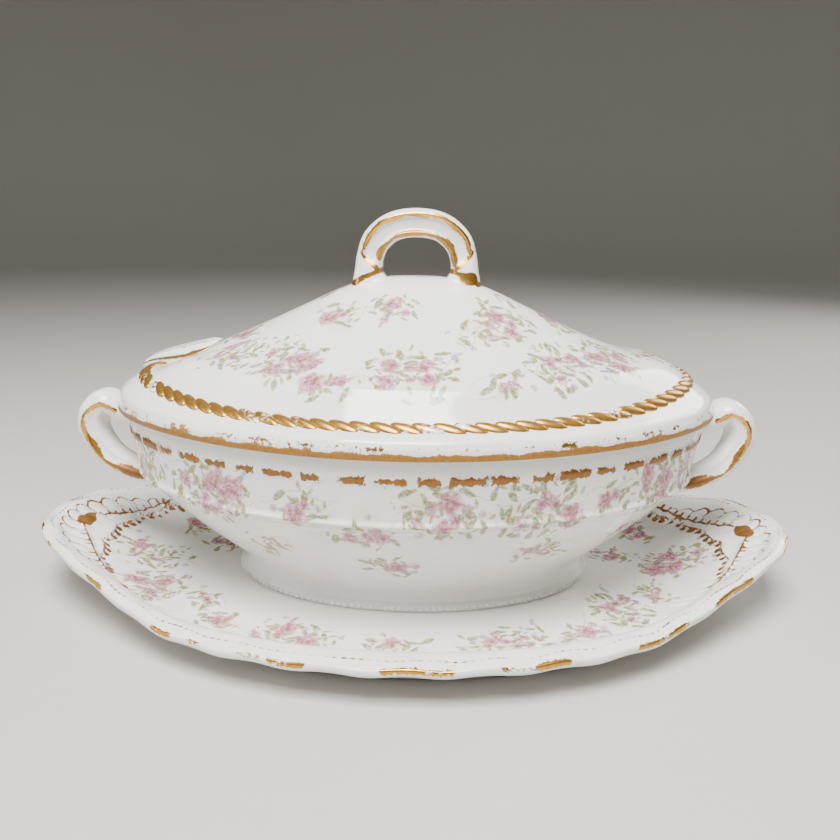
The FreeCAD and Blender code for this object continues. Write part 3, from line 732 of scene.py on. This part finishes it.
def bead_row(piece, count, size, slant, segments, rings):
    """Sets beads along a closed wire with geometry nodes, and gives the result as a mesh."""
    tree = bpy.data.node_groups.new(piece.name + "_beads", "GeometryNodeTree")
    for label, direction, socket in (
            ("Wire", "INPUT", "NodeSocketGeometry"), ("Count", "INPUT", "NodeSocketInt"),
            ("Size", "INPUT", "NodeSocketVector"), ("Slant", "INPUT", "NodeSocketFloat"),
            ("Beads", "OUTPUT", "NodeSocketGeometry")):
        tree.interface.new_socket(label, in_out=direction, socket_type=socket)
    given = add(tree, "NodeGroupInput", output="Wire").node
    curve = add(tree, "GeometryNodeMeshToCurve", (given.outputs["Wire"],))
    places = add(tree, "GeometryNodeCurveToPoints",
                 {"Curve": curve, "Count": given.outputs["Count"]}, output="Points", mode="COUNT")
    outward = add(tree, "GeometryNodeInputNamedAttribute", {"Name": "outward"},
                  output="Attribute", data_type="FLOAT_VECTOR")
    upright = add(tree, "FunctionNodeAlignRotationToVector", {"Vector": outward}, axis="Z")
    facing = add(tree, "FunctionNodeAlignRotationToVector",
                 {"Rotation": upright, "Vector": places.node.outputs["Tangent"]},
                 axis="X", pivot_axis="Z")
    lean = add(tree, "ShaderNodeCombineXYZ", {"Z": given.outputs["Slant"]})
    slanted = add(tree, "FunctionNodeRotateRotation", {0: facing, 1: lean}, rotation_space="LOCAL")
    bead = add(tree, "GeometryNodeMeshUVSphere",
               {"Segments": segments, "Rings": rings, "Radius": 1.0})
    beads = add(tree, "GeometryNodeInstanceOnPoints",
                {"Points": places, "Instance": bead, "Rotation": slanted,
                 "Scale": given.outputs["Size"]})
    smooth = add(tree, "GeometryNodeSetShadeSmooth", (
        add(tree, "GeometryNodeRealizeInstances", (beads,)),))
    coated = add(tree, "GeometryNodeSetMaterial", {"Geometry": smooth, "Material": porcelain})
    add(tree, "NodeGroupOutput", {"Beads": coated})
    modifier = piece.modifiers.new("beads", "NODES")
    modifier.node_group = tree
    sockets = {item.name: item.identifier for item in tree.interface.items_tree
               if item.in_out == "INPUT"}
    modifier[sockets["Count"]] = count
    modifier[sockets["Size"]] = size
    modifier[sockets["Slant"]] = slant
    result = bpy.data.meshes.new_from_object(
        piece.evaluated_get(bpy.context.evaluated_depsgraph_get()))
    piece.modifiers.clear()
    piece.data = result
    return piece


pearl_ring = oval_rings(np.array([(60.2, 40.1, 0, 8.3, 0)]))[0]
pearls = bead_row(loop_of_points("foot_pearls", pearl_ring, pushed(
    pearl_ring[None], np.ones((1, AROUND)))[0] - pearl_ring), PEARL_COUNT,
    (PEARL_RADIUS / 1000,) * 3, 0.0, 10, 6)
plain_marks(pearls)
finished(pearls, "tureen")


# ---------------------------------------------------------------- handles
# Two ear-shaped straps, pressed in moulds and luted to the bowl. A gold line follows the
# ridge of each side and ends in a leaf at the lower root.

STRAP_AROUND = 72


def strap_rings(rows, squareness=0.78):
    """Rings and their places across a strap, from rows of x, z, thickness and width."""
    path = rows[:, :2]
    run = np.gradient(path, axis=0)
    run /= np.linalg.norm(run, axis=1)[:, None]
    square = np.stack([-run[:, 1], run[:, 0]], 1)
    way = np.concatenate([[0], np.cumsum(np.linalg.norm(np.diff(path, axis=0), axis=1))])
    angle = np.arange(STRAP_AROUND) * math.tau / STRAP_AROUND
    thick = np.sign(np.cos(angle)) * np.abs(np.cos(angle)) ** squareness
    wide = np.sign(np.sin(angle)) * np.abs(np.sin(angle)) ** squareness
    across = rows[:, 2:3] / 2 * thick
    sideways = rows[:, 3:4] / 2 * wide
    return path, square, way, across, sideways


def strap_skin(name, path, square, across, sideways, marks):
    """A closed strap from its centre line and its places across."""
    x = path[:, :1] + across * square[:, :1]
    z = path[:, 1:] + across * square[:, 1:]
    return closed_skin(name, np.stack([x, sideways, z], 2), marks)


handle_rows = through([
    (94.6, 59.6, 6.6, 12.5), (98.8, 59.6, 7.0, 12.0), (104.8, 63.8, 8.2, 13.6),
    (109.1, 61.0, 8.8, 14.0), (110.4, 55.5, 8.8, 14.0), (108.4, 49.3, 8.6, 13.2),
    (103.6, 43.7, 7.9, 12.0), (96.4, 40.0, 7.2, 11.0), (89.4, 38.3, 6.8, 12.5),
    (85.6, 37.6, 6.4, 14.0)], (10, 12, 14, 14, 14, 14, 14, 14, 8))
for side, name, node in ((1, "right_ear_handle", "handle_right"),
                         (-1, "left_ear_handle", "handle_left")):
    path, square, way, across, sideways = strap_rings(handle_rows)
    share = (way / way[-1])[:, None]
    edge_share = np.abs(sideways) / (handle_rows[:, 3:4] / 2)
    ridge = 0.7 * np.exp(-((across - 0.6) / 0.9) ** 2) - 0.7 * np.exp(-((across + 1.6) / 1.2) ** 2)
    ridge = ridge * smoothstep(0.75, 0.95, edge_share)
    sideways = sideways + np.sign(sideways) * ridge * np.sin(math.pi * share)
    middle = 0.3 + 0.55 * np.sin(way[:, None] / 2.6)
    line = np.abs(across - middle) - 0.75 + 3.0 * smoothstep(0.92, 0.7, edge_share)
    line += 4.0 * smoothstep(0.12, 0.06, share) + 4.0 * smoothstep(0.8, 0.9, share)
    leaf = np.hypot((share - 0.8) * way[-1] / 5.5, (across - 0.2) / 1.8) - 1
    leaf = leaf * 2.0 + 3.0 * smoothstep(0.85, 0.6, edge_share)
    strap = strap_skin(name, path, square, across, sideways, {
        "gold_mm": np.minimum(line, leaf), "worn": 0.15 + 0.2 * share + 0 * across,
        "painted": 0 * across, "brown_and_shade": smoothstep(0.45, 0.8, share) + 0 * across})
    if side < 0:
        strap.data.transform(Matrix.Scale(-1, 4, (1, 0, 0)))
        strap.data.flip_normals()
    finished(strap, "tureen", node)


# ---------------------------------------------------------------- cover
# Domed cover, cast with a flange that hangs inside the bowl and an edge notched for a ladle.
# A rope moulding runs round the border, and the edge below it is gilded.

EDGE = (98.9, 67.9, 0.14)
BORDER = (91.9, 60.9, 0.14)
EDGE_RISE = 3.2
ROPE_COUNT = 84
LADLE_Y = 19.0
NOTCH_DEPTH = 9.0

dome = [(BORDER[0] * share, BORDER[1] * share, BORDER[2] * share, 71.6 + 35.6 * height,
         EDGE_RISE * max(0.0, (share - 0.76) / 0.24))
        for share, height in ((0.006, 1.0), (0.12, 0.985), (0.25, 0.9), (0.38, 0.75),
                              (0.51, 0.595), (0.64, 0.45), (0.77, 0.335), (0.88, 0.245))]
cover_top = through(dome + [
    (*BORDER, 71.6, EDGE_RISE),
    (EDGE[0] - 1.6, EDGE[1] - 1.6, 0.14, 69.4, 0.4 * EDGE_RISE),
    (EDGE[0] - 0.15, EDGE[1] - 0.15, 0.14, 67.3, 0.0)], (5, 7, 7, 7, 7, 7, 8, 12, 12, 6))
cover_edge = np.array([
    (*EDGE, 66.7, 0), (*EDGE, 66.0, 0), (*EDGE, 65.3, 0), (*EDGE, 64.6, 0),
    (98.8, 67.8, 0.14, 64.1, 0), (98.3, 67.3, 0.14, 63.85, 0), (97.4, 66.4, 0.14, 63.82, 0),
    (92.4, 61.8, 0.13, 63.82, 0), (91.9, 61.3, 0.125, 63.4, 0), (91.9, 61.3, 0.125, 61.0, 0),
    (91.8, 61.2, 0.125, 59.1, 0), (91.4, 60.8, 0.125, 58.82, 0), (89.9, 59.3, 0.125, 58.82, 0),
    (89.5, 58.9, 0.125, 59.1, 0), (89.4, 58.8, 0.125, 63.0, 0), (89.2, 58.5, 0.13, 67.4, 0)])
cover_inner = through([(a - 3.0, b - 3.0, p, z, e) for a, b, p, z, e in dome[:1:-1]]
                      + [(9.0, 4.6, 0.02, 103.6, 0), (0.6, 0.4, 0, 104.0, 0)],
                      (4, 4, 4, 4, 4, 3, 3))
cover_rings = np.concatenate([
    oval_rings(cover_top), oval_rings(cover_edge), oval_rings(cover_inner)])
top_rings = len(cover_top)


def ladle_dip(x, y):
    """How far the end of the cover dips under the ladle hood."""
    return 7.4 * np.exp(-((x + 79.0) / np.where(x < -79.0, 7.5, 9.0)) ** 2
                        - ((y - 5.0) / 17.0) ** 2)


dip = ladle_dip(cover_rings[..., 0], cover_rings[..., 1])
cover_rings[..., 2] -= dip * smoothstep(65.5, 70.5, cover_rings[..., 2])
notch = smoothstep(6.6, 4.6, np.abs(cover_rings[..., 1] - LADLE_Y))
cover_rings[..., 0] += NOTCH_DEPTH * notch * smoothstep(-76.0, -93.0, cover_rings[..., 0])
edge_z = cover_rings[..., 2]
seam_way, _ = way_round(cover_rings[top_rings + 2])
cover_inset = steps_between(cover_rings[:top_rings + 3][::-1])[::-1]
gold_cover = np.full(cover_rings.shape[:2], 9.0)
gold_cover[:top_rings + 3] = cover_inset - 0.6 - 0.25 * np.sin(seam_way / 2.1)
gold_cover[top_rings + 3:top_rings + 6] = -0.5
speckled = 0.34 + 3.0 * smoothstep(2.2, 4.6, cover_inset)
gold_cover[:top_rings + 3] = np.minimum(gold_cover[:top_rings + 3], speckled)
cover_x, cover_y = cover_rings[..., 0], cover_rings[..., 1]
hood_marks = np.hypot(cover_x + 69.5, cover_y - 2.5) - 1.5
for start, end, half_thick in (
        ((-69.0, 1.0), (-69.5, -11.0), 0.42), ((-69.5, -11.0), (-73.5, -21.0), 0.42),
        ((-31.0, -5.0), (-21.5, -2.0), 0.6), ((23.5, -5.0), (28.5, -7.5), 0.6)):
    stroke = segment_distance(cover_x, cover_y, start, end)[0] - half_thick
    hood_marks = np.minimum(hood_marks, stroke)
hood_marks = hood_marks[:top_rings + 3]
gold_cover[:top_rings + 3] = np.minimum(gold_cover[:top_rings + 3], hood_marks)
worn_cover = np.full(cover_rings.shape[:2], 0.12)
worn_cover[:top_rings + 3] = 0.12 + 0.75 * smoothstep(0.8, 2.2, cover_inset)
painted_cover = np.zeros(cover_rings.shape[:2])
painted_cover[:top_rings + 3] = smoothstep(8.0, 10.0, cover_inset)
# The gold of the edge is made darker towards its bottom: painted shade on the lower side of the rounded
# edge.
cover_dome = closed_skin("domed_cover", cover_rings, {
    "gold_mm": gold_cover, "worn": worn_cover, "painted": painted_cover,
    "brown_and_shade": 0.25 + 0.5 * smoothstep(66.9, 65.2, edge_z)})
dome_curve = through(dome, (12,) * 7)
cover_sprays = []
for bearing, share, angle, kind in (
        (-145, 0.72, 0.2, 0), (-122, 0.73, -0.1, 0), (-128, 0.42, 0.1, 1), (-90, 0.76, 0.0, 0),
        (-52, 0.46, 0.2, 0), (-52, 0.75, 0.1, 0), (-28, 0.72, 0.2, 0), (-10, 0.5, 0.5, 1),
        (-168, 0.62, 0.3, 1), (-172, 0.84, 0.2, 1), (-5, 0.84, 0.2, 1), (25, 0.7, 0.1, 0),
        (50, 0.74, 0.0, 0), (62, 0.42, 0.1, 1), (88, 0.74, 0.1, 0), (118, 0.45, 0.2, 0),
        (125, 0.78, 0.1, 0), (150, 0.62, 0.2, 1), (-102, 0.38, 0.2, 1), (-70, 0.84, 0.1, 1),
        (-108, 0.86, 0.1, 1)):
    row = dome_curve
    row = row[np.abs(row[:, 0] / BORDER[0] - share).argmin()]
    bearing = math.radians(bearing)
    cover_sprays.append(((row[0] * math.cos(bearing), row[1] * math.sin(bearing),
                          row[3] + row[4] * math.cos(bearing) ** 4), angle, kind))
paint_places(cover_dome, cover_sprays)
finished(cover_dome, "lid", "cover")

rope_ring = cover_rings[:top_rings]
rope_index = np.abs(cover_top[:, 0] - 92.6).argmin()
inner_index = np.abs(cover_top[:, 0] - 89.4).argmin()
to_end = np.abs(cosine[:, None]) ** 3
rope_line = rope_ring[rope_index] * (1 - to_end) + rope_ring[inner_index] * to_end
rope_run = np.roll(rope_line, -1, axis=0) - np.roll(rope_line, 1, axis=0)
rope_fall = rope_ring[rope_index + 2] - rope_ring[rope_index - 2]
rope_out = np.cross(rope_run, rope_fall)
rope_out *= np.sign(rope_out[:, 2:3]) / np.linalg.norm(rope_out, axis=1)[:, None]
rope = bead_row(loop_of_points("rope_moulding", rope_line - 0.15 * rope_out, rope_out),
                ROPE_COUNT, (0.0050, 0.0017, 0.0010), -0.36, 14, 8)
plain_marks(rope, worn=0.12, brown_and_shade=0.4)
strand = np.arange(len(rope.data.vertices)) // (len(rope.data.vertices) // ROPE_COUNT)
rope_gold = -0.4 + 0.25 * np.sin(strand * 0.71) + 0.25 * np.sin(strand * 2.3)
rope.data.attributes["gold_mm"].data.foreach_set("value", rope_gold.astype("f4"))
finished(rope, "lid")


# ---------------------------------------------------------------- cover handle
# A bent strap pressed in a mould, with a scooped channel between two ridges on each face,
# standing on two spreading feet. Gold lines follow the ridges and ring the feet.

loop_half = [(14.5, 102.9, 15.6, 16.2), (15.3, 105.8, 11.4, 13.2), (15.5, 109.0, 9.2, 12.0),
             (15.0, 113.4, 8.8, 11.6), (12.9, 118.5, 9.2, 11.6), (7.6, 122.7, 9.2, 12.0)]
loop_rows = through([(-x, z, t, w) for x, z, t, w in loop_half] + [(0.0, 124.0, 9.2, 12.0)]
                    + loop_half[::-1], (8, 10, 12, 14, 16, 14, 14, 16, 14, 12, 10, 8))
path, square, way, across, sideways = strap_rings(loop_rows, 0.62)
share = (way / way[-1])[:, None]
half_thick = loop_rows[:, 2:3] / 2
up = across / half_thick
face = smoothstep(0.55, 0.9, np.abs(sideways) / (loop_rows[:, 3:4] / 2))
arch = smoothstep(0.1, 0.2, share) * smoothstep(0.9, 0.8, share)
channel = smoothstep(-0.72, -0.35, up) * smoothstep(0.62, 0.3, up)
sideways = sideways - np.sign(sideways) * 1.7 * channel * face * arch
ridge_wave = 0.05 * np.sin(way[:, None] / 1.4)
outer_line = np.abs(up - 0.56 - ridge_wave) * half_thick - 0.85
inner_line = np.abs(up + 0.85) * half_thick - 1.7 + 0.6 * np.sin(way[:, None] / 2.6)
foot_way = np.minimum(way, way[-1] - way)[:, None]
foot_ring_gold = np.abs(foot_way - 4.6 + 1.9 * up) - 0.8
crossing = np.abs(foot_way - 9.0 - 3.2 * up) - 0.8
gold_loop = np.minimum(outer_line, inner_line) + 3 * (1 - face) + 4 * (1 - arch)
gold_loop = np.minimum(gold_loop, foot_ring_gold)
loop_x = path[:, :1] + across * square[:, :1]
loop_z = path[:, 1:] + across * square[:, 1:]
foot_leaf = (np.hypot((loop_x - 17.2) / 3.4, (loop_z - 106.6) / 2.0) - 1) * 2
inner_leaf = (np.hypot((loop_x - 11.2) / 1.7, (loop_z - 112.6) / 4.0) - 1) * 1.7
gold_loop = np.minimum(gold_loop, np.minimum(foot_leaf, inner_leaf) + 2 * (1 - face))
gold_loop = np.minimum(gold_loop, crossing + 2 * (1 - face))
# The gold is made darker towards the inside of the arch: painted shade under the loop.
strap = strap_skin("cover_loop", path, square, across, sideways, {
    "gold_mm": gold_loop, "worn": 0.2 + 0 * gold_loop, "painted": 0 * gold_loop,
    "brown_and_shade": 0.15 + 0.5 * smoothstep(0.2, -0.8, up) + 0 * gold_loop})
finished(strap, "lid", "cover_handle")


# ---------------------------------------------------------------- ladle hood
# A leaf-shaped hood, cupped over the slot for a ladle and luted to the cover. Its mouth is
# open outwards, over the edge of the cover.

HOOD_AROUND = 64
hood_rows = through([
    # x, y, ridge height, half width, drop of the edges
    (-67.0, 13.0, 83.4, 0.8, 0.2), (-71.5, 14.5, 83.4, 6.6, 2.4), (-79.0, 16.6, 81.6, 10.2, 3.4),
    (-86.5, 18.0, 79.6, 10.4, 2.6), (-92.8, 19.0, 77.4, 8.6, 1.5), (-97.2, 19.6, 75.0, 5.2, 0.9),
    (-99.3, 20.0, 73.2, 0.6, 0.2)], (6, 10, 12, 12, 10, 8))
angle = np.arange(HOOD_AROUND) * math.tau / HOOD_AROUND
span_share = np.sign(np.cos(angle)) * np.abs(np.cos(angle)) ** 0.6
under = np.where(np.sin(angle) >= 0, 0.0, 1.0)
thickness = 3.4 * smoothstep(0.5, 5.0, hood_rows[:, 3:4])
half = hood_rows[:, 3:4]
rounded = np.sqrt(np.maximum(1 - np.abs(span_share) ** 10, 0.0))
hood_y = hood_rows[:, 1:2] + half * span_share
hood_z = hood_rows[:, 2:3] - hood_rows[:, 4:5] * span_share**2 - thickness * (
    under * rounded + 0.16 * (1 - under) * (1 - rounded))
hood_z += 0.3 * np.cos(span_share * 4 * math.pi) * (1 - under) * smoothstep(2.0, 6.0, half)
hood_x = hood_rows[:, 0:1] + 0 * hood_y
hood_edge = (1 - np.abs(span_share)) * half
hood_gold = np.abs(hood_edge - 0.7) - 0.85 + 3.0 * under
hood_knot = np.hypot(hood_x + 77.5, hood_y - 7.0) - 2.0 + 3.0 * under
hood_gold = np.minimum(hood_gold, hood_knot)
for start, end in (((-88.0, 14.0), (-81.0, 12.0)), ((-79.0, 13.0), (-72.5, 11.0))):
    stroke = segment_distance(hood_x, hood_y, start, end)[0] - 0.4
    hood_gold = np.minimum(hood_gold, stroke + 3 * under)
hood = closed_skin("leaf_hood", np.stack([hood_x, hood_y, hood_z], 2), {
    "gold_mm": hood_gold, "worn": 0.2 + 0 * hood_gold, "painted": 0 * hood_gold,
    "brown_and_shade": 0.4 + 0 * hood_gold})
finished(hood, "lid", "ladle_hood")
